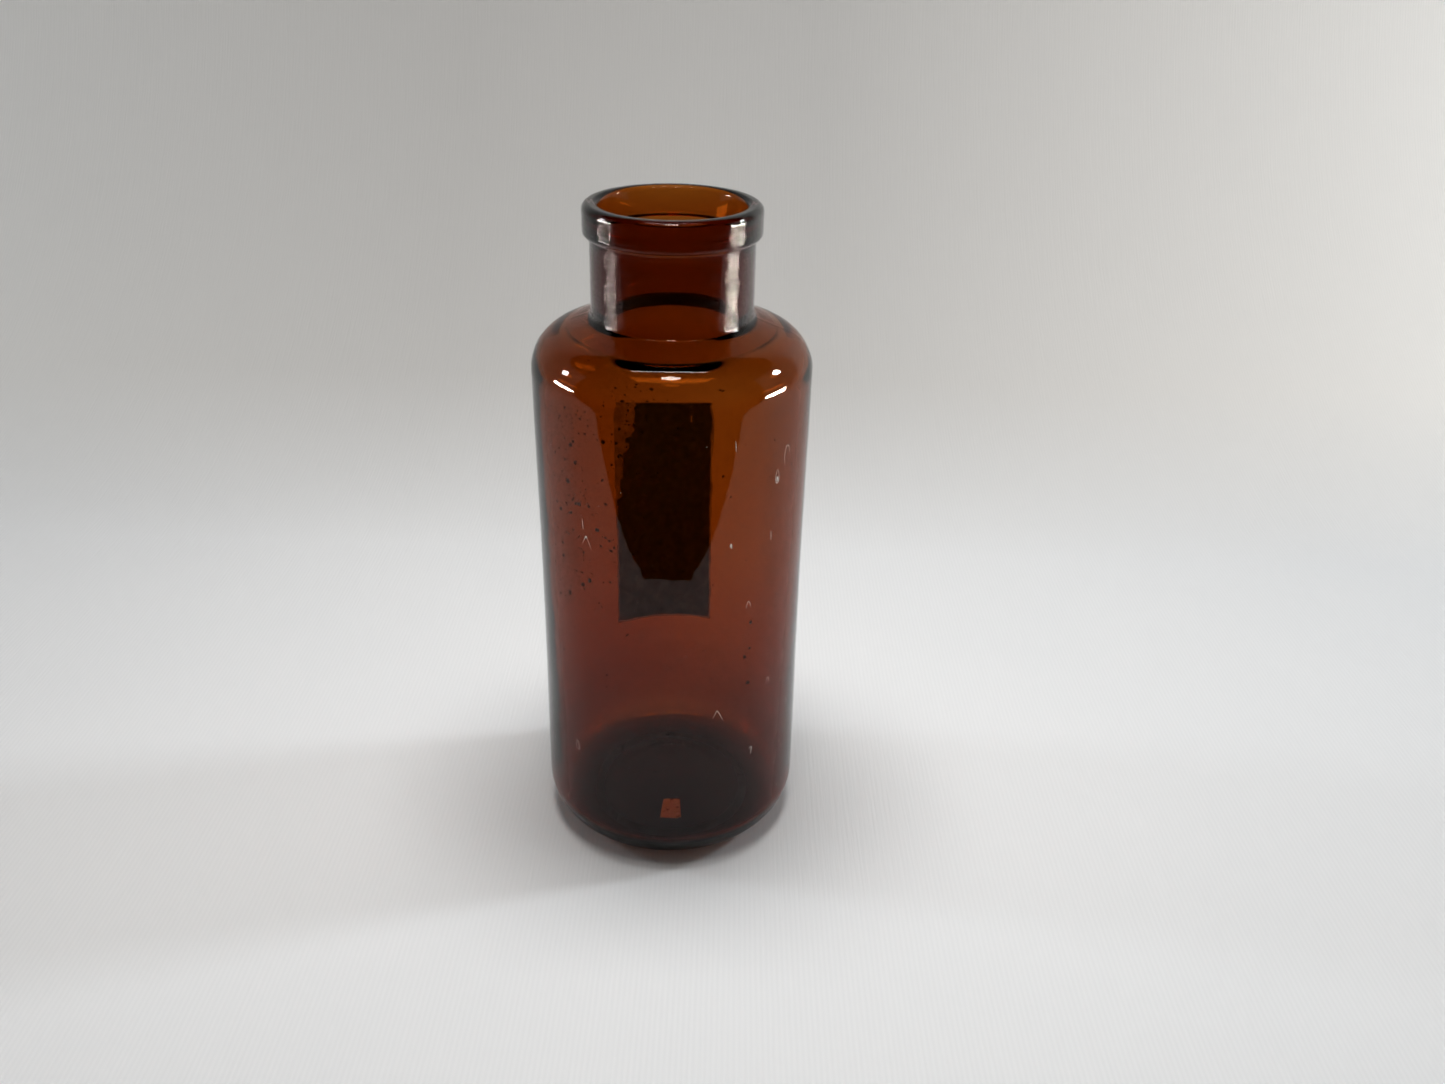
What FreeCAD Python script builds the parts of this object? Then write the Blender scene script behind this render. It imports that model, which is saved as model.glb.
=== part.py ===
import FreeCAD
import Part

import math
import os

# Wide-mouth amber medicine bottle with a gummed paper label on its back.
# Millimetres, +Z up. The origin is on the bottle's axis, in the plane that it stands on.
# -Y is the front, and the label is on the back, towards +Y.

# --- driving dimensions: the glass ------------------------------------------------------
BODY_R = 27.5            # widest radius of the body
HEIGHT = 136.4           # from the standing plane to the top of the lip
SIDE_WAIST = 0.28        # how far the side pulls in halfway up
HEEL_R = 10.0            # rounding between side and base
SIDE_TOP = 104.6         # where the side turns into the shoulder
SHOULDER_R = 8.5         # rounding of the shoulder
SHOULDER_SLOPE = math.radians(20.7)   # the shoulder's cone above its rounding
NECK_R = 15.7            # outside of the neck
ROOT_R = 1.0             # hollow rounding where the neck meets the shoulder
LIP_R = 17.0             # outside of the lip ring
LIP_H = 6.3              # height of the lip ring, its roundings included
LIP_TOP_R = 1.4          # rounding along the lip's top edge
LIP_UNDER_R = 1.15       # rounding along the lip's lower edge
MOUTH_R = 14.0           # inside of the mouth, where the bore's flare ends at the top
MOUTH_EDGE_R = 1.2       # rounding along the mouth's edge
BORE_R = 12.3            # inside of the neck, below the flare
FLARE_Z = 128.0          # height where the bore starts to flare
FLARE_R = 14.0           # rounding where the flare starts
THROAT_Z = 113.3         # height where the cavity narrows into the bore
THROAT_R = 1.6           # rounding there
KNEE_X = 19.6            # radius where the inner shoulder turns flatter
KNEE_R = 4.0             # rounding there
SHELF_SLOPE = math.radians(8)  # the inner shoulder's flatter part
ARCH_R = 5.2             # rounding between the inner shoulder and the inner wall
ARCH_Z = 105.4           # height where that rounding starts
WALL_TOP = 1.8           # thickness of the side under the shoulder
WALL_LOW = 3.2           # thickness of the side above the heel
FLOOR_EDGE = 5.0         # height of the inner floor at its edge
FLOOR_CROWN = 1.3        # how much higher the inner floor is in the middle
INNER_HEEL_R = 3.2       # rounding between the inner floor and the inner wall
RING_W = 2.0             # width of the flat ring that the bottle stands on
PUSH_UP = 1.8            # how far the base is hollowed in the middle

# --- driving dimensions: the label and what lies inside ---------------------------------
LABEL_Z = (32.1, 84.3)   # bottom and top of the label
LABEL_ARC = (-32.4, 17.9)  # its two upright edges, in degrees from +Y towards +X
GUM_T = 0.06             # dried gum between the glass and the paper
GUM_MARGIN = 0.6         # how far the gum shows past the paper's edges
PAPER_T = 0.14           # thickness of the label's paper
SCRAP_AT = (0.6, -13.4)  # middle of the paper scrap on the inner floor
SCRAP_WIDTHS = (3.9, 4.9)  # its far and near widths
SCRAP_DEPTH = 6.2        # its size from front to back
SCRAP_T = 0.15           # its thickness
SCRAP_CLEAR = 0.08       # air between the scrap and the floor

UP = FreeCAD.Vector(0, 0, 1)
CENTRE = FreeCAD.Vector(0, 0, 0)


def at(radius, height):
    """A point of a half section, in the XZ plane."""
    return FreeCAD.Vector(radius, 0, height)


def along(start, angle, distance):
    """The point a distance from start, at an angle above the outward direction."""
    return start + at(math.cos(angle), math.sin(angle)) * distance


def corner_arc(before, corner, after, radius):
    """An arc of that radius, tangent to both legs of a corner."""
    a = (before - corner).normalize()
    b = (after - corner).normalize()
    half = a.getAngle(b) / 2
    centre = corner + (a + b).normalize() * (radius / math.sin(half))
    tangent_a = corner + a * (radius / math.tan(half))
    tangent_b = corner + b * (radius / math.tan(half))
    middle = centre + (corner - centre).normalize() * radius
    return Part.Arc(tangent_a, middle, tangent_b).toShape()


def rounded_line(points):
    """Edges of a line through (point, radius) pairs, with its inner corners rounded."""
    edges = []
    here = points[0][0]
    for before, (corner, radius), after in zip(points, points[1:], points[2:]):
        arc = corner_arc(before[0], corner, after[0], radius)
        edges += [Part.LineSegment(here, arc.firstVertex().Point).toShape(), arc]
        here = arc.lastVertex().Point
    edges.append(Part.LineSegment(here, points[-1][0]).toShape())
    return [edge for edge in edges if edge.Length > 1e-4]


def spin(edges, degrees=360.0):
    """The solid that a closed half section sweeps about the bottle's axis."""
    return Part.Face(Part.Wire(edges)).revolve(CENTRE, UP, degrees)


def side_radius(height):
    """Outer radius of the body at a height: straight at heel and shoulder, pulled in halfway up."""
    share = (height - HEEL_R) / (SIDE_TOP - HEEL_R)
    return BODY_R - SIDE_WAIST * 16 * (share * (1 - share)) ** 2


def side_edge(low, high, offset=0.0):
    """The side's line between two heights, at a distance off the glass. It runs upwards."""
    span = SIDE_TOP - HEEL_R
    pulls = (0, 0, SIDE_WAIST * 8 / 3, 0, 0)
    curve = Part.BezierCurve()
    curve.setPoles([at(BODY_R + offset - pull, HEEL_R + span * k / 4) for k, pull in enumerate(pulls)])
    shares = [(z - HEEL_R) / span for z in (low, high)]
    curve.segment(*shares)
    return curve.toShape()


def outer_edges():
    """Half section of the outside, from the middle of the base to the top of the lip."""
    ring_out = BODY_R - HEEL_R
    ring_in = ring_out - RING_W
    dome_r = (ring_in**2 + PUSH_UP**2) / (2 * PUSH_UP)
    dome_z = PUSH_UP - dome_r + math.sqrt(dome_r**2 - (ring_in / 2) ** 2)
    shoulder_centre = at(BODY_R - SHOULDER_R, SIDE_TOP)
    turn = math.pi / 2 - SHOULDER_SLOPE
    shoulder_end = along(shoulder_centre, turn, SHOULDER_R)
    cone = (shoulder_end.x - NECK_R) / math.cos(SHOULDER_SLOPE)
    root = along(shoulder_end, math.pi - SHOULDER_SLOPE, cone)
    lip_z = HEIGHT - LIP_H
    edges = [
        Part.Arc(at(0, PUSH_UP), at(ring_in / 2, dome_z), at(ring_in, 0)).toShape(),
        Part.LineSegment(at(ring_in, 0), at(ring_out, 0)).toShape(),
        Part.Arc(
            at(ring_out, 0),
            along(at(ring_out, HEEL_R), -math.pi / 4, HEEL_R),
            at(BODY_R, HEEL_R),
        ).toShape(),
        side_edge(HEEL_R, SIDE_TOP),
        Part.Arc(
            at(BODY_R, SIDE_TOP),
            along(shoulder_centre, turn / 2, SHOULDER_R),
            shoulder_end,
        ).toShape(),
    ]
    return edges + rounded_line(
        [
            (shoulder_end, 0),
            (root, ROOT_R),
            (at(NECK_R, lip_z), 0.4),
            (at(LIP_R, lip_z + 0.35), LIP_UNDER_R),
            (at(LIP_R, HEIGHT), LIP_TOP_R),
            (at((LIP_R + MOUTH_R) / 2, HEIGHT), 0),
        ]
    )


def crown_radius():
    """Radius of the sphere that the inner floor is a cap of."""
    floor_r = BODY_R - WALL_LOW - INNER_HEEL_R
    return (floor_r**2 + FLOOR_CROWN**2) / (2 * FLOOR_CROWN)


def floor_height(radius):
    """Height of the crowned inner floor at a distance from the axis."""
    crown_r = crown_radius()
    return FLOOR_EDGE + FLOOR_CROWN - crown_r + math.sqrt(crown_r**2 - radius**2)


def inner_edges():
    """Half section of the inside, from the top of the lip to the middle of the inner floor."""
    floor_r = BODY_R - WALL_LOW - INNER_HEEL_R
    heel_centre = at(floor_r, FLOOR_EDGE + INNER_HEEL_R)
    arch_centre = at(BODY_R - WALL_TOP - ARCH_R, ARCH_Z)
    turn = math.pi / 2 - SHELF_SLOPE
    arch_end = along(arch_centre, turn, ARCH_R)
    shelf = (arch_end.x - KNEE_X) / math.cos(SHELF_SLOPE)
    edges = rounded_line(
        [
            (at((LIP_R + MOUTH_R) / 2, HEIGHT), 0),
            (at(MOUTH_R, HEIGHT), MOUTH_EDGE_R),
            (at(BORE_R, FLARE_Z), FLARE_R),
            (at(BORE_R, THROAT_Z), THROAT_R),
            (along(arch_end, math.pi - SHELF_SLOPE, shelf), KNEE_R),
            (arch_end, 0),
        ]
    )
    arch_start = at(BODY_R - WALL_TOP, ARCH_Z)
    heel_end = at(BODY_R - WALL_LOW, heel_centre.z)
    return edges + [
        Part.Arc(arch_end, along(arch_centre, turn / 2, ARCH_R), arch_start).toShape(),
        Part.LineSegment(arch_start, heel_end).toShape(),
        Part.Arc(
            heel_end,
            along(heel_centre, -math.pi / 4, INNER_HEEL_R),
            at(floor_r, FLOOR_EDGE),
        ).toShape(),
        Part.Arc(
            at(floor_r, FLOOR_EDGE),
            at(floor_r / 2, floor_height(floor_r / 2)),
            at(0, floor_height(0)),
        ).toShape(),
    ]


def glass_bottle():
    """The bottle: base, side, shoulder, neck and lip ring, moulded in one piece of glass."""
    axis = Part.LineSegment(at(0, floor_height(0)), at(0, PUSH_UP)).toShape()
    return spin(outer_edges() + inner_edges() + [axis])


def skin(inner, thickness, margin):
    """A thin patch on the bottle's back, a distance off the glass, larger than the label by a margin."""
    low, high = LABEL_Z[0] - margin, LABEL_Z[1] + margin
    outer = inner + thickness
    spread = math.degrees(margin / BODY_R)
    start, end = LABEL_ARC[0] - spread, LABEL_ARC[1] + spread
    ends = [
        Part.LineSegment(at(side_radius(z) + inner, z), at(side_radius(z) + outer, z)).toShape()
        for z in (low, high)
    ]
    section = Part.__sortEdges__([side_edge(low, high, inner), side_edge(low, high, outer)] + ends)
    patch = spin(section, end - start)
    patch.rotate(CENTRE, UP, 90 - end)
    return patch


def floor_scrap():
    """A scrap of paper that lies on the crowned inner floor, near the front."""
    far_w, near_w = (width / 2 for width in SCRAP_WIDTHS)
    depth = SCRAP_DEPTH / 2
    corners = [(-near_w, -depth), (near_w, -depth), (far_w, depth), (-far_w, depth)]
    outline = Part.makePolygon([FreeCAD.Vector(x, y, 0) for x, y in corners + corners[:1]])
    scrap = Part.Face(outline).extrude(UP * SCRAP_T)
    away = math.hypot(*SCRAP_AT)
    slope = math.degrees(math.asin(away / crown_radius()))
    scrap.rotate(CENTRE, FreeCAD.Vector(1, 0, 0), slope)
    scrap.translate(FreeCAD.Vector(*SCRAP_AT, floor_height(away) + SCRAP_CLEAR))
    return scrap


os.makedirs("parts", exist_ok=True)
nodes = {
    "glass_bottle": glass_bottle(),
    "label_gum": skin(0.0, GUM_T, GUM_MARGIN),
    "back_label": skin(GUM_T, PAPER_T, 0.0),
    "floor_scrap": floor_scrap(),
}
for name, shape in nodes.items():
    shape.exportStep(f"parts/{name}.step")
    box = shape.optimalBoundingBox()
    size = " x ".join(f"{length:.2f}" for length in (box.XLength, box.YLength, box.ZLength))
    print(f"{name}: valid {shape.isValid()}, {shape.Volume:.1f} mm3, {size} mm, lowest {box.ZMin:.2f}")
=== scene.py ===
import math
import random

import bmesh
import bpy
from mathutils import Matrix, Vector, noise


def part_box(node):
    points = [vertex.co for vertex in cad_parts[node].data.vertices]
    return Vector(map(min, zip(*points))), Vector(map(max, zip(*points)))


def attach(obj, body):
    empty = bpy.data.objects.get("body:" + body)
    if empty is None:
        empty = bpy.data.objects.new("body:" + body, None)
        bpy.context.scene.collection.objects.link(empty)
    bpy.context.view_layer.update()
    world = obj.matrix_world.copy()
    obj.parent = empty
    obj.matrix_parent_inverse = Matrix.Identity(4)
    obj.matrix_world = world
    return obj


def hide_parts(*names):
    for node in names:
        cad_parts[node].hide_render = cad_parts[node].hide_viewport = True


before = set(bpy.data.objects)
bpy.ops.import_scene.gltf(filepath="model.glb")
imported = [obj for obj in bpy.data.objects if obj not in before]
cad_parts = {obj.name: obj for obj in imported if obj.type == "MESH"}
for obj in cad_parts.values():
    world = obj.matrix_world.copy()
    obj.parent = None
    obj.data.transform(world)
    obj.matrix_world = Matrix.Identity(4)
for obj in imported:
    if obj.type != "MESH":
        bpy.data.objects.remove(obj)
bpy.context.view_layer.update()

# Metres. The bottle's axis is Z and -Y is its front. Azimuths run from the back (+Y) towards +X
# unless a comment says otherwise.
MM = 0.001
BODY_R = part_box("glass_bottle")[1].x
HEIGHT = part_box("glass_bottle")[1].z
LABEL_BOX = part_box("back_label")
SCRAP_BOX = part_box("floor_scrap")
TINY = 1e-7              # less than any real distance here

# --- the glass, as it was moulded -------------------------------------------------------------
SIDE_WAIST = 0.28 * MM   # how far the body's side is pulled in halfway up
SIDE_STEPS = 100
HEEL_R = 10.0 * MM
SIDE_TOP = 104.6 * MM    # where the side ends and the shoulder's rounding starts
SHOULDER_R = 8.5 * MM
SLOPE = math.radians(20.7)  # of the shoulder, from its rounding up to the neck
NECK_R = 15.7 * MM
ROOT_R = 1.0 * MM        # of the hollow between shoulder and neck
LIP_R = 17.0 * MM
LIP_H = 6.3 * MM
LIP_TOP_R = 1.4 * MM
LIP_UNDER_R = 1.15 * MM
LIP_STEP = 0.35 * MM     # how much the lip's underside falls towards the neck
LIP_CORNER_R = 0.4 * MM
MOUTH_R = 14.0 * MM
MOUTH_EDGE_R = 1.2 * MM
BORE_R = 12.3 * MM
FLARE_Z = 128.0 * MM     # where the bore starts to widen towards the mouth
FLARE_R = 14.0 * MM
THROAT_Z = 113.3 * MM    # where the bore ends in the inner shoulder
THROAT_R = 1.6 * MM
KNEE_X = 19.6 * MM       # the bend halfway out along the inner shoulder
KNEE_R = 4.0 * MM
SHELF_SLOPE = math.radians(8)  # of the inner shoulder outside that bend
ARCH_R = 5.2 * MM        # of the rounding from the inner shoulder down to the wall
ARCH_Z = 105.4 * MM
WALL_TOP = 1.8 * MM
WALL_LOW = 3.2 * MM
FLOOR_EDGE = 5.0 * MM    # height of the inner floor at its edge
FLOOR_CROWN = 1.3 * MM   # and how much higher it is in its middle
FLOOR_STEPS = 20
INNER_HEEL_R = 3.2 * MM
RING_W = 2.0 * MM        # of the flat ring that it stands on
PUSH_UP = 1.8 * MM       # of the base inside that ring
GLASS_SEGMENTS = 200
GLASS_STEP = 1.0 * MM    # longest stretch between two points of the half section
GLASS_TURN = math.radians(6)  # widest turn between two points of an arc

# --- how the real glass strays from that ------------------------------------------------------
# A band is four limits of two soft steps: up from the first to the second, and down again from the
# third to the fourth.
SEAM_AZIMUTHS = (math.radians(91.8), math.radians(-88.2))  # where the two halves of the mould met
SEAM_HEIGHT = 0.07 * MM
SEAM_WIDTH = 0.35 * MM
SEAM_BAND = (0.002, 0.006, SIDE_TOP + 10 * MM, SIDE_TOP + 12 * MM)
SAG = 0.03 * MM          # of the outside, always inwards
SAG_GRAIN = 0.016
SAG_BAND = (0.008, 0.020, 0.100, 0.112)
BLOWN_BAND = (0.006, 0.020, 0.098, 0.112)  # heights at which the inner wall is uneven
WAVY = 0.05              # waves of the inner wall, in millimetres
WAVY_BACK = 0.09         # and how much stronger they are behind
WAVY_GRAIN = 0.022
THICKER = 0.9 * MM       # how much thicker the blown wall is on its thickest side
THICK_SIDE = math.radians(-38)  # azimuth of that side
SHELF_RISE = 0.8 * MM    # how much higher the inner shoulder is on its two sides
SHELF_BAND = (13 * MM, 16 * MM, 20.3 * MM, 23.3 * MM)  # radii between which it is
FLOOR_TOP = 0.008        # everything inside below this is floor
FLOOR_WAVY = 0.12 * MM
FLOOR_GRAIN = 0.009
TOOLED = (SIDE_TOP + 9.6 * MM, SIDE_TOP + 11.2 * MM)  # heights over which the tool's rings begin
TOOLED_R = (14.6 * MM, 15.2 * MM)  # and radii, because they are on the outside only

# --- the label and its gum --------------------------------------------------------------------
LABEL_AZ = (math.radians(-32.4), math.radians(17.9))
LABEL_Z = (LABEL_BOX[0].z, LABEL_BOX[1].z)
LABEL_X = (LABEL_AZ[0] * BODY_R, LABEL_AZ[1] * BODY_R)  # along the glass, from the back
GUM_T = 0.06 * MM
GUM_MARGIN = 0.6 * MM
PAPER_T = 0.14 * MM
PAPER_SLACK = 0.04 * MM  # taken off the paper, because it stands off the glass here and there
AIR = 0.012 * MM         # keeps two touching faces apart
LABEL_CELL = 0.4 * MM
WORN_X, WORN_Z = 5.0 * MM, 21.0 * MM  # how far the worn corner reaches along each edge
RIGHT_NICKS = (          # height, depth and half height of each
    (79.0 * MM, 0.55 * MM, 1.5 * MM),
    (76.2 * MM, 0.3 * MM, 0.5 * MM),
)
PRICKS = (               # place along and up the glass, and radius of each
    (-6.0 * MM, 84.4 * MM, 0.30 * MM),
    (-4.7 * MM, 85.0 * MM, 0.22 * MM),
    (-11.1 * MM, 80.2 * MM, 0.26 * MM),
    (3.4 * MM, 82.2 * MM, 0.28 * MM),
    (5.6 * MM, 35.6 * MM, 0.24 * MM),
)

# --- the scrap inside -------------------------------------------------------------------------
SCRAP_FAR = 1.95 * MM    # half its width at the far end
SCRAP_T = 0.12 * MM
SCRAP_ACROSS, SCRAP_DEEP = 26, 30  # cells

# --- the camera and the studio ----------------------------------------------------------------
CAMERA_AT = Vector((0.01068, -0.2364, 0.1885))
CAMERA_DOWN = math.radians(27.46)
CAMERA_ROLL = 0.024
CAMERA_LENS = 31.505
CAMERA_SENSOR = 36.0
PAPER_EDGE = -0.145      # front edge of the paper that the glass mirrors
TAB_AT = (-0.003, -0.143, 0.0003)  # a tab of the paper's edge, in front of the bottle
TAB_X, TAB_Y = 0.042, 0.008  # half its width and depth
TAB_CORNERS = 48
RIB_PITCH = 1.05 * MM    # of the paper's fine ribs, which run from front to back
COVE_BACK = 0.36         # from the axis to the wall behind the bottle
COVE_FRONT = 0.90
COVE_SIDE = 0.75
COVE_BEND = 0.24
COVE_TOP = 0.62
COVE_BENDS = 16          # rings of its bend
COVE_AROUND = 192
COVE_SQUARE = 6          # the higher, the squarer its plan
WARM = (1.0, 0.97, 0.93)
ROOM_COLOUR = (0.96, 0.98, 1.0, 1)
ROOM_STRENGTH = 0.16
VIEW_GAMMA = 0.78        # opens up the dark tones, as the photograph's are


# === small helpers ============================================================================
def point(radius, height):
    """A point of a half section."""
    return Vector((radius, height))


def along(start, angle, distance):
    """The point a distance from start, at an angle above the outward direction."""
    return start + point(math.cos(angle), math.sin(angle)) * distance


def arc(centre, radius, start, end):
    """Points of an arc from one angle to another, both ends included."""
    steps = max(4, math.ceil(abs(end - start) / GLASS_TURN))
    return [along(centre, start + (end - start) * k / steps, radius) for k in range(steps + 1)]


def rounding(before, corner, after, radius):
    """Points of the arc that rounds a corner off, tangent to both of its legs."""
    a = (before - corner).normalized()
    b = (after - corner).normalized()
    half = a.angle(b) / 2
    centre = corner + (a + b).normalized() * (radius / math.sin(half))
    first = corner + a * (radius / math.tan(half)) - centre
    last = corner + b * (radius / math.tan(half)) - centre
    start = math.atan2(first.y, first.x)
    turn = math.atan2(first.x * last.y - first.y * last.x, first.dot(last))
    return arc(centre, radius, start, start + turn)


def divided(points):
    """The same line, with no stretch longer than GLASS_STEP and no point twice."""
    line = [points[0]]
    for target in points[1:]:
        here = line[-1]
        length = (target - here).length
        if length > TINY:
            parts = math.ceil(length / GLASS_STEP)
            line += [here.lerp(target, k / parts) for k in range(1, parts + 1)]
    return line


def side_radius(height):
    """Outer radius of the body at a height: straight at heel and shoulder, pulled in halfway up."""
    share = min(1.0, max(0.0, (height - HEEL_R) / (SIDE_TOP - HEEL_R)))
    return BODY_R - SIDE_WAIST * 16 * (share * (1 - share)) ** 2


def on_side(azimuth, height, lift=0.0):
    """A point on the body's outside, a distance off the glass. The azimuth runs from the back."""
    radius = side_radius(height) + lift
    return Vector((radius * math.sin(azimuth), radius * math.cos(azimuth), height))


def floor_height(radius):
    """Height of the crowned inner floor at a distance from the axis."""
    floor_r = BODY_R - WALL_LOW - INNER_HEEL_R
    crown_r = (floor_r**2 + FLOOR_CROWN**2) / (2 * FLOOR_CROWN)
    return FLOOR_EDGE + FLOOR_CROWN - crown_r + math.sqrt(crown_r**2 - radius**2)


def smooth(low, high, value):
    """0 below low, 1 above high, and a soft step between them."""
    share = min(1.0, max(0.0, (value - low) / (high - low)))
    return share * share * (3 - 2 * share)


def band(limits, value):
    """1 between the two soft steps of a band, and 0 outside them."""
    return smooth(limits[0], limits[1], value) * (1 - smooth(limits[2], limits[3], value))


def rough(x, y, z, size, seed=0):
    """Noise from -1 to 1 whose grains are about that size."""
    return noise.noise(Vector((x / size + seed * 17.3, y / size - seed * 5.1, z / size + seed)))


def wall_extra(azimuth):
    """How much thicker the blown wall is at an azimuth."""
    return THICKER * max(0.0, math.cos(azimuth - THICK_SIDE)) ** 2


def make_mesh(name, vertices, faces, material, replaces=()):
    """A piece of the object: it rides on the bottle's body."""
    mesh = bpy.data.meshes.new(name)
    mesh.from_pydata([tuple(v) for v in vertices], [], faces)
    mesh.validate()
    mesh.shade_smooth()
    mesh.materials.append(material)
    piece = bpy.data.objects.new(name, mesh)
    bpy.context.scene.collection.objects.link(piece)
    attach(piece, "root")
    if replaces:
        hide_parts(*replaces)
    return piece


# === materials ================================================================================
class Nodes:
    """Short calls for building one material's node tree."""

    def __init__(self, name):
        self.material = bpy.data.materials.new(name)
        self.material.use_nodes = True
        self.tree = self.material.node_tree
        self.tree.nodes.clear()
        self.out = self.tree.nodes.new("ShaderNodeOutputMaterial")
        self.shader = self.tree.nodes.new("ShaderNodeBsdfPrincipled")
        self.link(self.shader.outputs[0], self.out.inputs["Surface"])
        self.place = self.tree.nodes.new("ShaderNodeTexCoord").outputs["Object"]

    def link(self, source, target):
        self.tree.links.new(source, target)

    def set(self, **values):
        """Values of the Principled shader's sockets, by name with _ for a blank."""
        for name, value in values.items():
            self.shader.inputs[name.replace("_", " ")].default_value = value

    def feed(self, socket, source):
        self.link(source, self.shader.inputs[socket])

    def node(self, kind, inputs=None, **settings):
        made = self.tree.nodes.new(kind)
        for name, value in settings.items():
            setattr(made, name, value)
        for name, value in (inputs or {}).items():
            if isinstance(value, bpy.types.NodeSocket):
                self.link(value, made.inputs[name])
            else:
                made.inputs[name].default_value = value
        return made

    def stretched(self, scale):
        """Object coordinates times a scale along each axis."""
        return self.node("ShaderNodeMapping", {"Vector": self.place, "Scale": scale}).outputs[0]

    def noise(self, grain, detail=4.0, roughness=0.55, stretch=(1, 1, 1), distortion=0.0):
        """Noise from 0 to 1 whose grains are about that many metres."""
        inputs = {
            "Vector": self.stretched(stretch),
            "Scale": 1 / grain,
            "Detail": detail,
            "Roughness": roughness,
            "Distortion": distortion,
        }
        return self.node("ShaderNodeTexNoise", inputs).outputs["Fac"]

    def cells(self, grain, stretch=(1, 1, 1)):
        inputs = {"Vector": self.stretched(stretch), "Scale": 1 / grain}
        return self.node("ShaderNodeTexVoronoi", inputs).outputs["Distance"]

    def step(self, value, low, high, bottom=0.0, top=1.0):
        """bottom where value is under low, top where it is over high, and a ramp between."""
        inputs = {
            "Value": value,
            "From Min": low,
            "From Max": high,
            "To Min": bottom,
            "To Max": top,
        }
        return self.node("ShaderNodeMapRange", inputs).outputs["Result"]

    def math(self, operation, a, b):
        made = self.tree.nodes.new("ShaderNodeMath")
        made.operation = operation
        for socket, value in zip(made.inputs, (a, b)):
            if isinstance(value, bpy.types.NodeSocket):
                self.link(value, socket)
            else:
                socket.default_value = value
        return made.outputs[0]

    def mix(self, share, a, b):
        """A colour between two others."""
        made = self.tree.nodes.new("ShaderNodeMix")
        made.data_type = "RGBA"
        wanted = {0: share, 6: a, 7: b}
        for index, value in wanted.items():
            if isinstance(value, bpy.types.NodeSocket):
                self.link(value, made.inputs[index])
            else:
                made.inputs[index].default_value = value
        return made.outputs[2]

    def bump(self, height, distance, strength=1.0, normal=None):
        inputs = {"Height": height, "Distance": distance, "Strength": strength}
        if normal:
            inputs["Normal"] = normal
        return self.node("ShaderNodeBump", inputs).outputs["Normal"]

    def axis(self, letter):
        return self.node("ShaderNodeSeparateXYZ", {"Vector": self.place}).outputs[letter]


def amber_glass():
    """Amber glass: tinted all through, with the lipping tool's fine rings on lip and neck."""
    m = Nodes("amber_glass")
    m.set(Transmission_Weight=1.0, IOR=1.5, Specular_IOR_Level=0.5)
    film = m.noise(0.012, detail=5)
    clean, filmed = (1.0, 0.99, 0.97, 1), (0.97, 0.95, 0.92, 1)
    m.feed("Base Color", m.mix(film, clean, filmed))
    m.feed("Roughness", m.step(m.noise(0.006, detail=6), 0.45, 0.75, 0.0, 0.01))
    tooled = m.step(m.axis("Z"), *TOOLED)
    rings = m.noise(0.001, detail=3, roughness=0.6, stretch=(0.035, 0.035, 1.9))
    outward = m.node("ShaderNodeVectorMath", operation="LENGTH")
    m.link(m.stretched((1, 1, 0)), outward.inputs[0])
    outside = m.step(outward.outputs["Value"], *TOOLED_R)
    polished = m.math("MULTIPLY", tooled, outside)
    ring_height = m.math("MULTIPLY", rings, polished)
    skin = m.bump(m.noise(0.009, detail=2), 0.00004)
    m.feed("Normal", skin)
    m.set(Coat_Roughness=0.02, Coat_IOR=1.5)
    m.feed("Coat Weight", m.step(polished, 0.0, 1.0, 0.0, 0.6))
    m.feed("Coat Normal", m.bump(ring_height, 0.00016, normal=skin))
    tint = {"Color": (0.798, 0.545, 0.054, 1), "Density": 1300.0}
    m.link(m.node("ShaderNodeVolumeAbsorption", tint).outputs[0], m.out.inputs["Volume"])
    return m.material


def label_paper():
    """Old uncoated label paper, yellowed, with stains, foxing and a scuffed face."""
    m = Nodes("label_paper")
    m.set(Specular_IOR_Level=0.25)
    cream, tan = (0.94, 0.72, 0.58, 1), (0.74, 0.50, 0.38, 1)
    stain, foxing, fibre = (0.36, 0.21, 0.14, 1), (0.22, 0.11, 0.05, 1), (0.83, 0.74, 0.58, 1)
    aged = m.mix(m.noise(0.014, detail=5), cream, tan)
    mottled = m.mix(m.step(m.noise(0.0016, detail=6), 0.42, 0.68), aged, stain)
    foxed = m.mix(m.step(m.cells(0.0045), 0.0, 0.16, 0.75, 0.0), mottled, foxing)
    fibres = m.step(m.noise(0.0005, detail=4, stretch=(1, 1, 0.25)), 0.35, 0.7)
    m.feed("Base Color", m.mix(m.math("MULTIPLY", fibres, 0.22), foxed, fibre))
    m.feed("Roughness", m.step(m.noise(0.003), 0.3, 0.7, 0.72, 0.95))
    cockle = m.bump(m.noise(0.006, detail=3), 0.00015)
    m.feed("Normal", m.bump(m.noise(0.00035, detail=5), 0.00003, normal=cockle))
    return m.material


def dried_gum():
    """A thin brown film of old gum that lets some light through."""
    m = Nodes("dried_gum")
    m.set(IOR=1.45)
    blotches = m.noise(0.003, detail=6)
    thin, thick = (0.48, 0.24, 0.12, 1), (0.26, 0.11, 0.06, 1)
    m.feed("Base Color", m.mix(blotches, thin, thick))
    m.feed("Alpha", m.step(blotches, 0.3, 0.7, 0.12, 0.45))
    m.feed("Roughness", m.step(m.noise(0.0012), 0.3, 0.7, 0.3, 0.6))
    m.feed("Normal", m.bump(m.noise(0.0008, detail=4), 0.00002))
    return m.material


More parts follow.
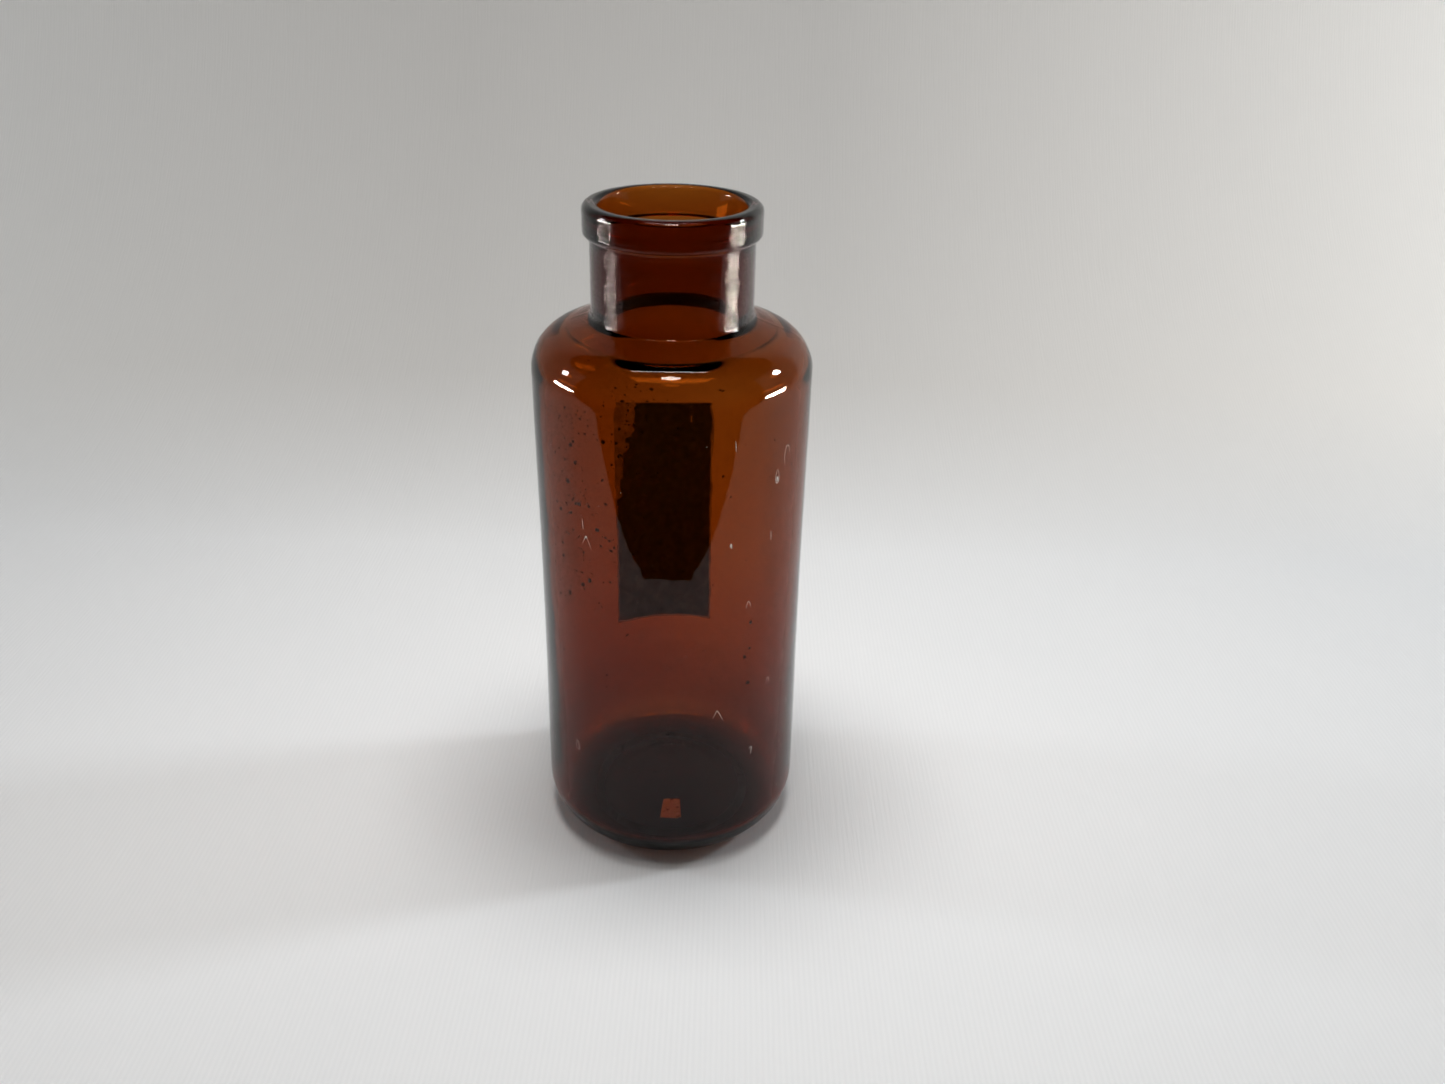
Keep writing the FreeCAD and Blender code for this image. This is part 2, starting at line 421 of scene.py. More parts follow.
def scrap_paper():
    """Ochre paper, mottled and stained."""
    m = Nodes("scrap_paper")
    straw, ochre, stain = (1.0, 0.93, 0.48, 1), (0.88, 0.68, 0.28, 1), (0.16, 0.08, 0.03, 1)
    paper = m.mix(m.noise(0.0022, detail=5), straw, ochre)
    stains = m.step(m.noise(0.0011, detail=4), 0.56, 0.70)
    m.feed("Base Color", m.mix(stains, paper, stain))
    m.feed("Roughness", m.step(m.noise(0.001), 0.3, 0.7, 0.7, 0.95))
    m.feed("Normal", m.bump(m.noise(0.0005, detail=4), 0.00005))
    return m.material


def dust_and_painted_highlight():
    """Pale dust, and the pale strokes that paint the highlights of the glass's small hook-shaped
    marks.
    """
    m = Nodes("dust_and_painted_highlight")
    # White and grey: the dust's own colour, and on the marks' strokes a painted highlight.
    white, grey = (0.90, 0.87, 0.83, 1), (0.72, 0.68, 0.63, 1)
    m.feed("Base Color", m.mix(m.noise(0.0006), white, grey))
    m.feed("Roughness", m.step(m.noise(0.0004), 0.3, 0.7, 0.6, 0.9))
    return m.material


def dry_residue():
    """Dark brown dried matter."""
    m = Nodes("dry_residue")
    brown, black = (0.05, 0.025, 0.012, 1), (0.015, 0.008, 0.005, 1)
    m.feed("Base Color", m.mix(m.noise(0.0008), brown, black))
    m.feed("Roughness", m.step(m.noise(0.0006), 0.3, 0.7, 0.5, 0.85))
    return m.material


def pale_paper_painted_light():
    """The studio's ribbed paper. Behind the bottle its colour is painted darker grey as shade, and
    paler out to both sides as light; its rib grooves get a painted shade.
    """
    m = Nodes("pale_paper_painted_light")
    m.set(Specular_IOR_Level=0.2, Roughness=0.9)
    floor = m.mix(m.noise(0.09, detail=3), (0.81, 0.80, 0.79, 1), (0.78, 0.775, 0.77, 1))
    ribs = m.math("SINE", m.math("MULTIPLY", m.axis("X"), math.tau / RIB_PITCH), 0.0)
    # Painted light and shade on the wall: a darker grey in the middle behind the bottle, paler
    # towards both sides and palest at the right.
    middle, right, left = (0.655, 0.635, 0.61, 1), (0.97, 0.93, 0.88, 1), (0.82, 0.80, 0.77, 1)
    # Painted shade in the grooves of the paper's ribs.
    rib_groove_painted_shade = (0.45, 0.45, 0.45, 1)
    wall = m.mix(m.step(m.axis("X"), 0.05, 0.33), middle, right)
    wall = m.mix(m.step(m.axis("X"), -0.34, -0.10, 1.0, 0.0), wall, left)
    sheet = m.mix(m.step(m.axis("Y"), 0.12, 0.22), floor, wall)
    # The ribs' painted groove shade, at most 5 % of the colour.
    sheet = m.mix(m.step(ribs, -1.0, 1.0, 0.0, 0.05), sheet, rib_groove_painted_shade)
    m.feed("Base Color", sheet)
    m.feed("Normal", m.bump(m.noise(0.0007, detail=3, stretch=(1, 0.04, 0.04)), 0.00006))
    return m.material


# === the glass ================================================================================
def outer_line():
    """Half section of the outside, from the middle of the base to the top of the lip."""
    ring_out = BODY_R - HEEL_R
    ring_in = ring_out - RING_W
    dome_r = (ring_in**2 + PUSH_UP**2) / (2 * PUSH_UP)
    dome_turn = math.asin(ring_in / dome_r)
    dome = arc(point(0, PUSH_UP - dome_r), dome_r, math.pi / 2, math.pi / 2 - dome_turn)
    heel = arc(point(ring_out, HEEL_R), HEEL_R, -math.pi / 2, 0)
    heights = [HEEL_R + (SIDE_TOP - HEEL_R) * k / SIDE_STEPS for k in range(SIDE_STEPS + 1)]
    side = [point(side_radius(z), z) for z in heights]
    shoulder = arc(point(BODY_R - SHOULDER_R, SIDE_TOP), SHOULDER_R, 0, math.pi / 2 - SLOPE)
    end = shoulder[-1]
    root = point(NECK_R, end.y + (end.x - NECK_R) * math.tan(SLOPE))
    lip_z = HEIGHT - LIP_H
    under = point(NECK_R, lip_z)
    edge = point(LIP_R, lip_z + LIP_STEP)
    top = point(LIP_R, HEIGHT)
    middle = point((LIP_R + MOUTH_R) / 2, HEIGHT)
    return (
        dome + heel + side + shoulder
        + rounding(end, root, under, ROOT_R)
        + rounding(root, under, edge, LIP_CORNER_R)
        + rounding(under, edge, top, LIP_UNDER_R)
        + rounding(edge, top, middle, LIP_TOP_R)
        + [middle]
    )


def inner_line():
    """Half section of the inside, from the top of the lip to the middle of the inner floor."""
    floor_r = BODY_R - WALL_LOW - INNER_HEEL_R
    arch_centre = point(BODY_R - WALL_TOP - ARCH_R, ARCH_Z)
    arch = arc(arch_centre, ARCH_R, math.pi / 2 - SHELF_SLOPE, 0)
    knee = point(KNEE_X, arch[0].y + (arch[0].x - KNEE_X) * math.tan(SHELF_SLOPE))
    throat = point(BORE_R, THROAT_Z)
    flare = point(BORE_R, FLARE_Z)
    middle = point((LIP_R + MOUTH_R) / 2, HEIGHT)
    mouth = point(MOUTH_R, HEIGHT)
    heel = arc(point(floor_r, FLOOR_EDGE + INNER_HEEL_R), INNER_HEEL_R, 0, -math.pi / 2)
    radii = [floor_r * (1 - k / FLOOR_STEPS) for k in range(FLOOR_STEPS + 1)]
    return (
        rounding(middle, mouth, flare, MOUTH_EDGE_R)
        + rounding(mouth, flare, throat, FLARE_R)
        + rounding(flare, throat, knee, THROAT_R)
        + rounding(throat, knee, arch[0], KNEE_R)
        + arch + heel
        + [point(r, floor_height(r)) for r in radii]
    )


def seam_ridge(azimuth, height):
    """How far a mould seam stands proud: from the heel to the neck, where the tool wiped it off."""
    off = min(abs(math.remainder(azimuth - seam, math.tau)) for seam in SEAM_AZIMUTHS)
    across = math.exp(-((off * BODY_R / SEAM_WIDTH) ** 2))
    return SEAM_HEIGHT * across * band(SEAM_BAND, height)


def outer_point(here, azimuth):
    """A point of the outside, with the seams and a slight sag, and never past the CAD radius."""
    x, y = math.sin(azimuth), math.cos(azimuth)
    radius, z = here.x + seam_ridge(azimuth, here.y), here.y
    sag = SAG * (1 + rough(x * BODY_R, y * BODY_R, z, SAG_GRAIN))
    radius -= sag * band(SAG_BAND, z)
    radius = min(radius, here.x if abs(here.x - BODY_R) < 0.02 * MM else BODY_R)
    return radius * x, radius * y, z


def inner_point(here, azimuth):
    """A point of the inside, which is uneven, as blown glass is."""
    x, y = math.sin(azimuth), math.cos(azimuth)
    radius, z = here.x, here.y
    blown = band(BLOWN_BAND, z)
    wavy = (WAVY + WAVY_BACK * smooth(-0.3, 0.5, y)) * MM
    radius += wavy * blown * rough(x * BODY_R, y * BODY_R, z, WAVY_GRAIN, seed=3)
    radius -= blown * wall_extra(azimuth)
    if SIDE_TOP < z < THROAT_Z + THROAT_R:
        z += SHELF_RISE * smooth(0.30, 0.85, abs(x)) * band(SHELF_BAND, here.x)
    if z < FLOOR_TOP:
        z += FLOOR_WAVY * rough(x * here.x, y * here.x, 0, FLOOR_GRAIN, seed=5)
    return radius * x, radius * y, z


def spun_faces(line):
    """Faces between the rings of a spun half section. A point on the axis has no ring."""
    starts, count, faces = [], 0, []
    for here in line:
        starts.append(count)
        count += 1 if here.x < TINY else GLASS_SEGMENTS
    for i in range(len(line) - 1):
        a, b = starts[i], starts[i + 1]
        lone_a, lone_b = line[i].x < TINY, line[i + 1].x < TINY
        for k in range(GLASS_SEGMENTS):
            n = (k + 1) % GLASS_SEGMENTS
            if lone_a:
                faces.append((a, b + k, b + n))
            elif lone_b:
                faces.append((a + n, a + k, b))
            else:
                faces.append((a + n, a + k, b + k, b + n))
    return faces


def glass_body():
    """The bottle, spun from its half section, with the seams and unevenness of real glass."""
    outside = divided(outer_line())
    inside = divided(inner_line())
    if (outside[-1] - inside[0]).length < TINY:
        inside = inside[1:]
    line = outside + inside
    vertices = []
    for index, here in enumerate(line):
        if here.x < TINY:
            vertices.append((0, 0, here.y))
            continue
        placed = outer_point if index < len(outside) else inner_point
        vertices += [placed(here, math.tau * k / GLASS_SEGMENTS) for k in range(GLASS_SEGMENTS)]
    return make_mesh(
        "glass_body", vertices, spun_faces(line), amber_glass(),
        replaces=["glass_bottle"],
    )


# === the label ================================================================================
def settled(x, z, present):
    """A point of a sheet's edge, moved onto the line where present(x, z) is 0."""
    home_x, home_z = x, z
    probe, limit = LABEL_CELL * 0.2, LABEL_CELL * 0.7
    for _ in range(4):
        value = present(x, z)
        gx = (present(x + probe, z) - present(x - probe, z)) / (2 * probe)
        gz = (present(x, z + probe) - present(x, z - probe)) / (2 * probe)
        steep = gx * gx + gz * gz
        if steep > 1e-9:
            x -= value * gx / steep
            z -= value * gz / steep
        away = math.hypot(x - home_x, z - home_z)
        if away > limit:
            x = home_x + (x - home_x) * limit / away
            z = home_z + (z - home_z) * limit / away
    return x, z


def patch(name, inner, thickness, present, material, lift, replaces):
    """A thin sheet on the bottle's back, made of the cells where present(x, z) is over 0.

    x runs along the glass from the back towards +X. lift(x, z) is how far the sheet stands off."""
    margin = GUM_MARGIN * 1.5
    x0, x1 = LABEL_X[0] - margin, LABEL_X[1] + margin
    z0, z1 = LABEL_Z[0] - margin, LABEL_Z[1] + margin
    kept = set()
    for i in range(math.ceil((x1 - x0) / LABEL_CELL)):
        for j in range(math.ceil((z1 - z0) / LABEL_CELL)):
            if present(x0 + (i + 0.5) * LABEL_CELL, z0 + (j + 0.5) * LABEL_CELL) > 0:
                kept.add((i, j))
    for i, j in list(kept):
        beside = {(i - 1, j), (i + 1, j), (i, j - 1), (i, j + 1)} & kept
        if len(beside) < 2:
            kept.discard((i, j))
    index, places = {}, []
    for i, j in sorted(kept):
        for corner in ((i, j), (i + 1, j), (i + 1, j + 1), (i, j + 1)):
            if corner in index:
                continue
            index[corner] = len(places)
            a, b = corner
            x, z = x0 + a * LABEL_CELL, z0 + b * LABEL_CELL
            if not {(a, b), (a - 1, b), (a, b - 1), (a - 1, b - 1)} <= kept:
                x, z = settled(x, z, present)
            places.append((x, z))
    vertices = []
    for height in (inner, inner + thickness):
        for x, z in places:
            vertices.append(on_side(x / BODY_R, z, height + lift(x, z)))
    count = len(places)
    faces = []
    for i, j in sorted(kept):
        ring = [index[c] for c in ((i, j), (i + 1, j), (i + 1, j + 1), (i, j + 1))]
        faces.append(ring)
        faces.append([v + count for v in reversed(ring)])
        sides = (((i, j - 1), 0, 1), ((i + 1, j), 1, 2), ((i, j + 1), 2, 3), ((i - 1, j), 3, 0))
        for neighbour, a, b in sides:
            if neighbour not in kept:
                faces.append([ring[b], ring[a], ring[a] + count, ring[b] + count])
    return make_mesh(name, vertices, faces, material, replaces=replaces)


def inside_rectangle(x, z, margin):
    """Distance inside the label's rectangle grown by a margin; under 0 outside it."""
    left, right = LABEL_X[0] - margin, LABEL_X[1] + margin
    return min(x - left, right - x, z - (LABEL_Z[0] - margin), (LABEL_Z[1] + margin) - z)


def paper_edge(x, z):
    """Over 0 where the label's paper is: worn at its upper left, nicked at its right, pricked."""
    left, right = LABEL_X
    ragged = 0.10 * MM * rough(x, z, 0, 0.9 * MM) + 0.12 * MM * rough(x, z, 3, 3 * MM)
    value = inside_rectangle(x, z, 0) - 0.12 * MM + ragged
    across, down = (x - left) / WORN_X, (LABEL_Z[1] - z) / WORN_Z
    worn = (across + down - 1.0) * 4.0 * MM
    worn += 1.3 * MM * rough(x, z, 7, 2.6 * MM) + 0.8 * MM * rough(x, z, 9, 0.9 * MM)
    value = min(value, worn)
    for height, depth, tall in RIGHT_NICKS:
        nick = math.hypot((x - right) / depth, (z - height) / tall) - 1
        value = min(value, nick * depth)
    for prick_x, prick_z, radius in PRICKS:
        value = min(value, math.hypot(x - prick_x, z - prick_z) - radius)
    return value


def gum_edge(x, z):
    """Over 0 where the gum is: it runs a little past the paper, unevenly."""
    spread = GUM_MARGIN * (0.55 + 0.4 * rough(x, z, 11, 4 * MM))
    return inside_rectangle(x, z, spread) + 0.1 * MM * rough(x, z, 13, 0.8 * MM)


def gum_lift(x, z):
    """The gum lies on the glass everywhere."""
    return 0.0


def paper_lift(x, z):
    """The paper follows the gum, cockles a little and comes loose at its two lower corners."""
    lower_left = math.hypot(x - LABEL_X[0], z - LABEL_Z[0])
    lower_right = math.hypot(x - LABEL_X[1], z - LABEL_Z[0])
    curl = 0.45 * MM * (1 - smooth(0, 3.2 * MM, lower_left))
    curl += 0.30 * MM * (1 - smooth(0, 2.4 * MM, lower_right))
    return curl + 0.02 * MM * (1 + rough(x, z, 15, 5 * MM))


def label():
    """The film of gum on the glass, and the paper that it holds."""
    patch(
        "gum_film", AIR, GUM_T - 2 * AIR, gum_edge,
        dried_gum(), gum_lift, ["label_gum"],
    )
    patch(
        "label_sheet", GUM_T, PAPER_T - PAPER_SLACK, paper_edge,
        label_paper(), paper_lift, ["back_label"],
    )


# === the scrap on the floor inside ============================================================
def scrap():
    """The crumpled scrap of paper that lies inside, within the box of its CAD solid."""
    low, high = SCRAP_BOX
    middle = (low + high) / 2
    near_half = (high.x - low.x) / 2
    depth = (high.y - low.y) / 2
    across, deep = SCRAP_ACROSS, SCRAP_DEEP
    vertices = []
    for layer in (0, 1):
        for j in range(deep + 1):
            v = 2 * j / deep - 1
            half = near_half + (SCRAP_FAR - near_half) * (v + 1) / 2
            for i in range(across + 1):
                u = 2 * i / across - 1
                edge = 1 - 0.07 * (1 + rough(u * 2, v * 2, 1, 0.5)) * max(abs(u), abs(v)) ** 6
                x = middle.x + u * half * edge
                y = middle.y + v * depth * edge
                lift = 0.16 * MM * (1 + rough(x, y, 0, 2.2 * MM))
                lift += 0.35 * MM * smooth(0.5, 1.0, u) * smooth(0.2, 1.0, -v)
                away = math.hypot(x, y)
                above_floor = 0.14 * MM + lift + layer * SCRAP_T
                vertices.append((x, y, floor_height(away) + above_floor))
    row, sheet = across + 1, (across + 1) * (deep + 1)
    faces = []
    for j in range(deep):
        for i in range(across):
            ring = [j * row + i, j * row + i + 1, (j + 1) * row + i + 1, (j + 1) * row + i]
            faces.append(list(reversed(ring)))
            faces.append([v + sheet for v in ring])
    rim = list(range(across)) + [j * row + across for j in range(deep)]
    rim += [deep * row + i for i in range(across, 0, -1)] + [j * row for j in range(deep, 0, -1)]
    for a, b in zip(rim, rim[1:] + rim[:1]):
        faces.append([a, b, b + sheet, a + sheet])
    return make_mesh(
        "paper_scrap", vertices, faces, scrap_paper(), replaces=["floor_scrap"]
    )


# === marks and dust ===========================================================================
# Strokes of the marks, in millimetres along and up the glass, each with its thickness.
HOOK = ([(-0.5, -3.6), (-0.75, -1.8), (-0.2, 0.1), (0.6, -0.2), (1.0, -1.6)], 0.077)
TENT = ([(-0.9, -1.5), (-0.3, -0.2), (0.0, 0.2), (0.5, -0.5), (1.3, -2.4)], 0.07)
APEX = ([(-0.25, -0.2), (0.0, 0.25), (0.3, -0.1)], 0.168)
LOOP = (
    [(0, 1.8), (-0.45, 0.8), (-0.45, -0.6), (0, -1.2), (0.45, -0.6), (0.4, 0.7), (0.05, 1.5)],
    0.098,
)
SPLASH = ([(-0.2, -0.6), (0.0, 0.1), (0.15, -0.9)], 0.182)
DASH = ([(0.05, -1.3), (0.0, -0.2), (-0.1, 0.9)], 0.084)
WEDGE = ([(-0.6, -1.1), (-0.1, 1.0), (0.5, -1.0), (-0.1, -1.2), (-0.6, -1.1)], 0.07)
CURL = ([(-0.5, -1.1), (-0.1, 0.4), (0.4, 0.1), (0.6, -0.9)], 0.063)
TICK = ([(-0.5, 0.5), (0.3, 0.7), (0.1, -1.0)], 0.098)

# Where each mark is: azimuth from the front towards +X in degrees, height in millimetres, strokes.
MARKS = (
    (-34.2, 77.6, (TENT, APEX)),
    (-35.6, 80.5, (DASH,)),
    (55.0, 94.6, (HOOK,)),
    (49.4, 89.0, (LOOP, SPLASH)),
    (47.2, 77.2, (DASH,)),
    (36.0, 63.6, (CURL,)),
    (49.0, 43.4, (CURL,)),
    (22.4, 40.0, (TENT,)),
    (-43.1, 27.4, (WEDGE,)),
    (39.7, 27.6, (TICK,)),
    (26.8, 77.8, (SPLASH,)),
    (27.6, 98.1, (DASH,)),
)
MARK_SUNK = 0.01 * MM    # below the glass's surface, so that no gap shows

# The dust, and the dried residue. Heights in metres, turns in degrees, and spreads as from and to.
DUST_GRAINS = 130
DUST_TURN = 80           # to each side of the front
DUST_ANYWHERE, DUST_LOW = (0.010, 0.103), (0.010, 0.035)
DUST_SIZE = (0.03, 0.09)
RESIDUE_GRAINS = 420
RESIDUE_LEFT = (0.060, 0.103)
RESIDUE_ANYWHERE = (0.015, 0.103)
RESIDUE_TOP = 0.1035


def tube(path, radius, vertices, faces, sides=7):
    """Adds a closed fibre of tapering radius along a path of points that lie on the glass."""
    start = len(vertices)
    count = len(path)
    for k, here in enumerate(path):
        ahead = (path[min(k + 1, count - 1)] - path[max(k - 1, 0)]).normalized()
        out = Vector((here.x, here.y, 0)).normalized()
        side = ahead.cross(out).normalized()
        taper = radius * (0.35 + 0.65 * math.sin(math.pi * (k + 0.5) / count))
        taper *= 1 + 0.3 * rough(here.x, here.y, here.z, 0.4 * MM)
        for s in range(sides):
            angle = math.tau * s / sides
            spot = here + side * (taper * math.cos(angle)) + out * (0.45 * taper * math.sin(angle))
            vertices.append(spot)
    for k in range(count - 1):
        for s in range(sides):
            n = (s + 1) % sides
            a = start + k * sides
            faces.append([a + s, a + n, a + sides + n, a + sides + s])
    faces.append([start + s for s in reversed(range(sides))])
    faces.append([start + (count - 1) * sides + s for s in range(sides)])


def curve_points(strokes, per_stretch=6):
    """A smooth line through a stroke's points (Catmull-Rom)."""
    padded = [strokes[0]] + list(strokes) + [strokes[-1]]
    points = []
    for a, b, c, d in zip(padded, padded[1:], padded[2:], padded[3:]):
        for k in range(per_stretch):
            t = k / per_stretch
            points.append(tuple(
                0.5 * (2 * q + (r - p) * t + (2 * p - 5 * q + 4 * r - s) * t * t
                       + (3 * q - p - 3 * r + s) * t**3)
                for p, q, r, s in zip(a, b, c, d)
            ))
    return points + [strokes[-1]]


def marks_painted_highlight():
    """Pale hook-shaped strokes on the outside, a painted highlight of the glass's small marks."""
    vertices, faces = [], []
    for azimuth, height, strokes in MARKS:
        middle = math.pi - math.radians(azimuth)
        for stroke, radius in strokes:
            path = []
            for right, up in curve_points(stroke):
                z = (height + up) * MM
                path.append(on_side(middle - right * MM / BODY_R, z, -MARK_SUNK))
            tube(path, radius * MM, vertices, faces)
    return make_mesh("surface_marks_painted_highlight", vertices, faces, dust_and_painted_highlight())


def speck(centre, out, size, flat, vertices, faces, draw):
    """Adds one lumpy grain that lies on a surface with that outward direction."""
    ball = bmesh.new()
    bmesh.ops.create_icosphere(ball, subdivisions=2, radius=1.0)
    turn = out.to_track_quat("Z", "Y").to_matrix()
    long = draw.uniform(0.7, 1.5)
    spin = Matrix.Rotation(draw.uniform(0, math.tau), 3, "Z")
    seed = draw.uniform(0, 50)
    start = len(vertices)
    for v in ball.verts:
        lump = 1 + 0.45 * noise.noise(v.co * 1.4 + Vector((seed, 0, 0)))
        local = Vector((v.co.x * long, v.co.y, v.co.z * flat)) * (size * lump)
        vertices.append(centre + turn @ (spin @ local))
    for face in ball.faces:
        faces.append([start + v.index for v in face.verts])
    ball.free()


def outer_dust():
    """Pale dust grains on the outside, thickest low on the front."""
    draw = random.Random(41)
    vertices, faces = [], []
    for _ in range(DUST_GRAINS):
        azimuth = math.radians(draw.uniform(-DUST_TURN, DUST_TURN) + 180)
        z = draw.uniform(*(DUST_ANYWHERE if draw.random() < 0.45 else DUST_LOW))
        out = Vector((math.sin(azimuth), math.cos(azimuth), 0))
        size = draw.uniform(*DUST_SIZE) * MM
        speck(on_side(azimuth, z, 0.01 * MM), out, size, 0.5, vertices, faces, draw)
    return make_mesh("surface_dust", vertices, faces, dust_and_painted_highlight())


def inner_residue():
    """Dark dried specks inside, mostly on the left wall, under the shoulder and at the back."""
    draw = random.Random(7)
    vertices, faces = [], []
    for _ in range(RESIDUE_GRAINS):
        kind = draw.random()
        if kind < 0.55:
            azimuth = math.radians(180 + draw.gauss(42, 13))
            z = draw.uniform(*RESIDUE_LEFT)
        elif kind < 0.75:
            azimuth = math.radians(draw.gauss(-28, 12))
            z = draw.gauss(0.086, 0.008)
        else:
            azimuth = draw.uniform(0, math.tau)
            z = draw.uniform(*RESIDUE_ANYWHERE)
        z = min(z, RESIDUE_TOP)
        inward = Vector((-math.sin(azimuth), -math.cos(azimuth), 0))
        size = min(0.5, 0.09 + draw.expovariate(11)) * MM
        taper = (SIDE_TOP - z) / (SIDE_TOP - FLOOR_EDGE - INNER_HEEL_R)
        wall = WALL_TOP + (WALL_LOW - WALL_TOP) * max(0.0, taper)
        wall += wall_extra(azimuth)
        centre = -inward * (BODY_R - wall - 0.16 * MM) + Vector((0, 0, z))
        speck(centre, inward, size, 0.3, vertices, faces, draw)
    return make_mesh("inner_residue", vertices, faces, dry_residue())


# === camera, stage and light ==================================================================
def camera():
    """The camera, at the photograph's angle."""
    data = bpy.data.cameras.new("camera")
    data.lens = CAMERA_LENS
    data.sensor_width = CAMERA_SENSOR
    data.clip_start, data.clip_end = 0.005, 20.0
    made = bpy.data.objects.new("camera", data)
    bpy.context.scene.collection.objects.link(made)
    made.location = CAMERA_AT
    tilt = Matrix.Rotation(math.pi / 2 - CAMERA_DOWN, 3, "X")
    made.rotation_euler = (tilt @ Matrix.Rotation(CAMERA_ROLL, 3, "Z")).to_euler()
    bpy.context.scene.camera = made


def cove_shape():
    """Vertices and faces of a floor that bends up into a rounded wall all round."""
    bends = [math.pi / 2 * k / COVE_BENDS for k in range(1, COVE_BENDS + 1)]
    rings = [(share, 0.0) for share in (0.15, 0.3, 0.45, 0.6, 0.8, 1.0)]
    rings += [(1.0 + math.sin(t), COVE_BEND * (1 - math.cos(t))) for t in bends]
    rings += [(2.0, COVE_TOP)]
    middle = (COVE_BACK - COVE_FRONT) / 2
    reach_x = COVE_SIDE - COVE_BEND
    reach_y = (COVE_BACK + COVE_FRONT) / 2 - COVE_BEND
    vertices, faces = [(0, middle, 0)], []
    for share, height in rings:
        flat, bent = min(share, 1.0), max(0.0, share - 1.0) * COVE_BEND
        for k in range(COVE_AROUND):
            angle = math.tau * k / COVE_AROUND
            x, y = math.cos(angle), math.sin(angle)
            out = (abs(x) ** COVE_SQUARE + abs(y) ** COVE_SQUARE) ** (-1 / COVE_SQUARE)
            spot_x, spot_y = out * x * (flat * reach_x + bent), out * y * (flat * reach_y + bent)
            vertices.append((spot_x, middle + spot_y, height))
    for k in range(COVE_AROUND):
        n = (k + 1) % COVE_AROUND
        faces.append((0, 1 + k, 1 + n))
        for ring in range(len(rings) - 1):
            a = 1 + ring * COVE_AROUND
            faces.append((a + k, a + COVE_AROUND + k, a + COVE_AROUND + n, a + n))
    return vertices, faces


def cove_part(name, vertices, faces, paper, front):
    """The cove's part in front of PAPER_EDGE, or the part behind it."""
    mesh = bmesh.new()
    made = [mesh.verts.new(v) for v in vertices]
    for face in faces:
        mesh.faces.new([made[i] for i in face])
    bmesh.ops.bisect_plane(
        mesh,
        geom=mesh.verts[:] + mesh.edges[:] + mesh.faces[:],
        plane_co=(0, PAPER_EDGE, 0),
        plane_no=(0, 1, 0),
        clear_outer=front,
        clear_inner=not front,
    )
    data = bpy.data.meshes.new(name)
    mesh.to_mesh(data)
    mesh.free()
    data.shade_smooth()
    data.materials.append(paper)
    part = bpy.data.objects.new(name, data)
    bpy.context.scene.collection.objects.link(part)
    return part


def paper_tab(paper):
    """A rounded tab of paper in front of the bottle, which only reflections show."""
    turns = [math.tau * k / TAB_CORNERS for k in range(TAB_CORNERS)]
    rim = [(TAB_X * math.cos(t), TAB_Y * math.sin(t), 0) for t in turns]
    data = bpy.data.meshes.new("paper_tab")
    data.from_pydata(rim, [], [list(range(TAB_CORNERS))])
    data.materials.append(paper)
    tab = bpy.data.objects.new("paper_tab", data)
    bpy.context.scene.collection.objects.link(tab)
    tab.location = TAB_AT
    tab.visible_camera = tab.visible_diffuse = tab.visible_shadow = False


def cove():
    """Pale paper all round. Reflections see it only as far forward as PAPER_EDGE, and the tab."""
    vertices, faces = cove_shape()
    paper = pale_paper_painted_light()
    cove_part("paper_back", vertices, faces, paper, front=False)
    cove_part("paper_front", vertices, faces, paper, front=True).visible_glossy = False
    paper_tab(paper)


def lamp(name, place, aim, size, radiance, colour=(1, 1, 1)):
    """A flat lamp of that radiance. size is a diameter, or a width and a height."""
    data = bpy.data.lights.new(name, "AREA")
    if isinstance(size, tuple):
        data.shape = "RECTANGLE"
        data.size, data.size_y = size
        area = size[0] * size[1]
    else:
        data.shape = "DISK"
        data.size = size
        area = math.pi * size**2 / 4
    data.energy = radiance * math.pi * area
    data.color = colour
    made = bpy.data.objects.new(name, data)
    bpy.context.scene.collection.objects.link(made)
    made.location = place
    made.rotation_euler = (Vector(place) - Vector(aim)).to_track_quat("Z", "Y").to_euler()
    made.visible_camera = False
    return made


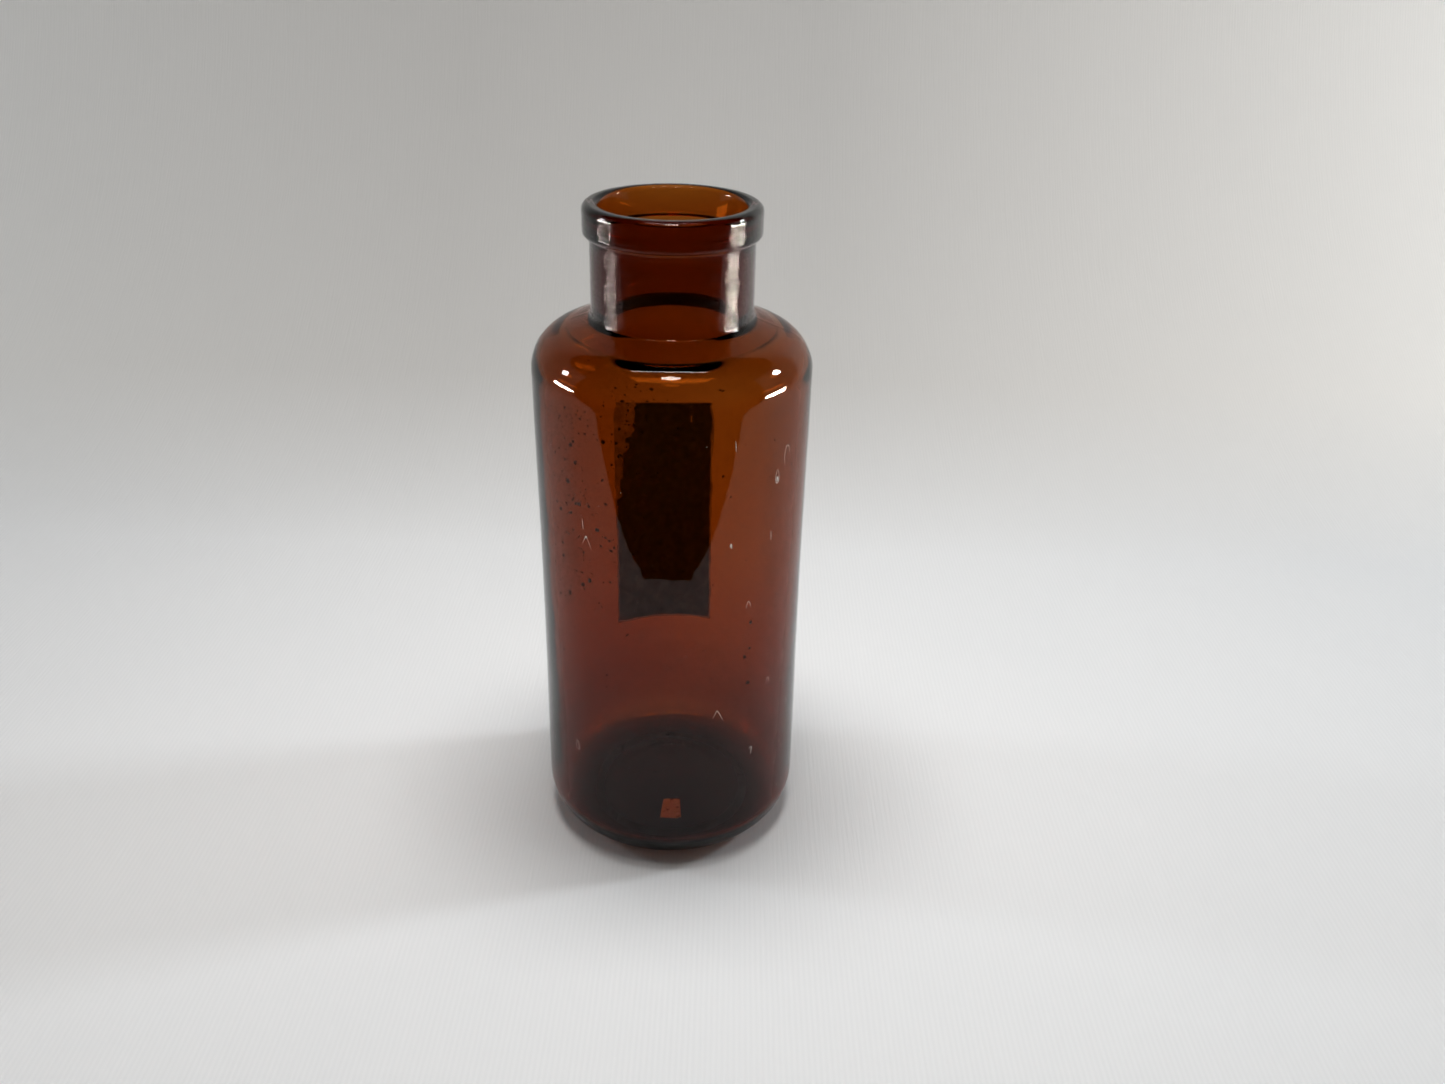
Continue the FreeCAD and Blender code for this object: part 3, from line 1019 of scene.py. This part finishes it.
def studio():
    """A light box: a round lamp and a strip overhead, and a bar and a round lamp on each side."""
    lamp(
        "overhead", place=(0, -0.235, 0.88), aim=(0, 0, 0.06), size=0.15,
        radiance=18, colour=WARM,
    )
    strip = lamp(
        "strip", place=(-0.005, -0.014, 0.338), aim=(-0.005, -0.014, 0), size=(0.154, 0.012),
        radiance=9,
    )
    strip.rotation_euler = (0, 0, 0)
    bar_left = lamp(
        "bar_left", place=(-0.60, 0.0, 0.098), aim=(0, 0, 0.100), size=(0.24, 0.044),
        radiance=58, colour=WARM,
    )
    bar_right = lamp(
        "bar_right", place=(0.60, 0.0, 0.052), aim=(0, 0, 0.090), size=(0.24, 0.057),
        radiance=88, colour=(1.0, 0.97, 0.86),
    )
    bar_left.visible_diffuse = bar_right.visible_diffuse = False
    lamp(
        "spot_left", place=(-0.56, 0.068, 0.318), aim=(0, 0, 0.10), size=0.085,
        radiance=26, colour=(0.84, 0.92, 1.0),
    )
    lamp(
        "spot_right", place=(0.534, 0.124, 0.367), aim=(0, 0, 0.10), size=0.085,
        radiance=60, colour=(0.86, 0.93, 1.0),
    )
    panel = lamp("panel", place=(0, 0.0, 0.36), aim=(0, 0.0, 0), size=(0.16, 0.10), radiance=14.0)
    panel.visible_glossy = False


def room_light():
    """The dim light of the room, which reflections don't see."""
    world = bpy.data.worlds.new("soft_room")
    world.use_nodes = True
    background = world.node_tree.nodes["Background"]
    background.inputs["Color"].default_value = ROOM_COLOUR
    background.inputs["Strength"].default_value = ROOM_STRENGTH
    bpy.context.scene.world = world
    world.cycles_visibility.glossy = False


def view_settings():
    """Tones, and as many bounces as light needs to pass through both walls of the bottle."""
    scene = bpy.context.scene
    scene.view_settings.view_transform = "Standard"
    scene.view_settings.gamma = VIEW_GAMMA
    scene.cycles.use_denoising = True
    scene.cycles.max_bounces = 24
    scene.cycles.transmission_bounces = 20
    scene.cycles.glossy_bounces = 8
    scene.cycles.sample_clamp_indirect = 2.0


camera()
cove()
studio()
room_light()
view_settings()
glass_body()
label()
scrap()
marks_painted_highlight()
outer_dust()
inner_residue()
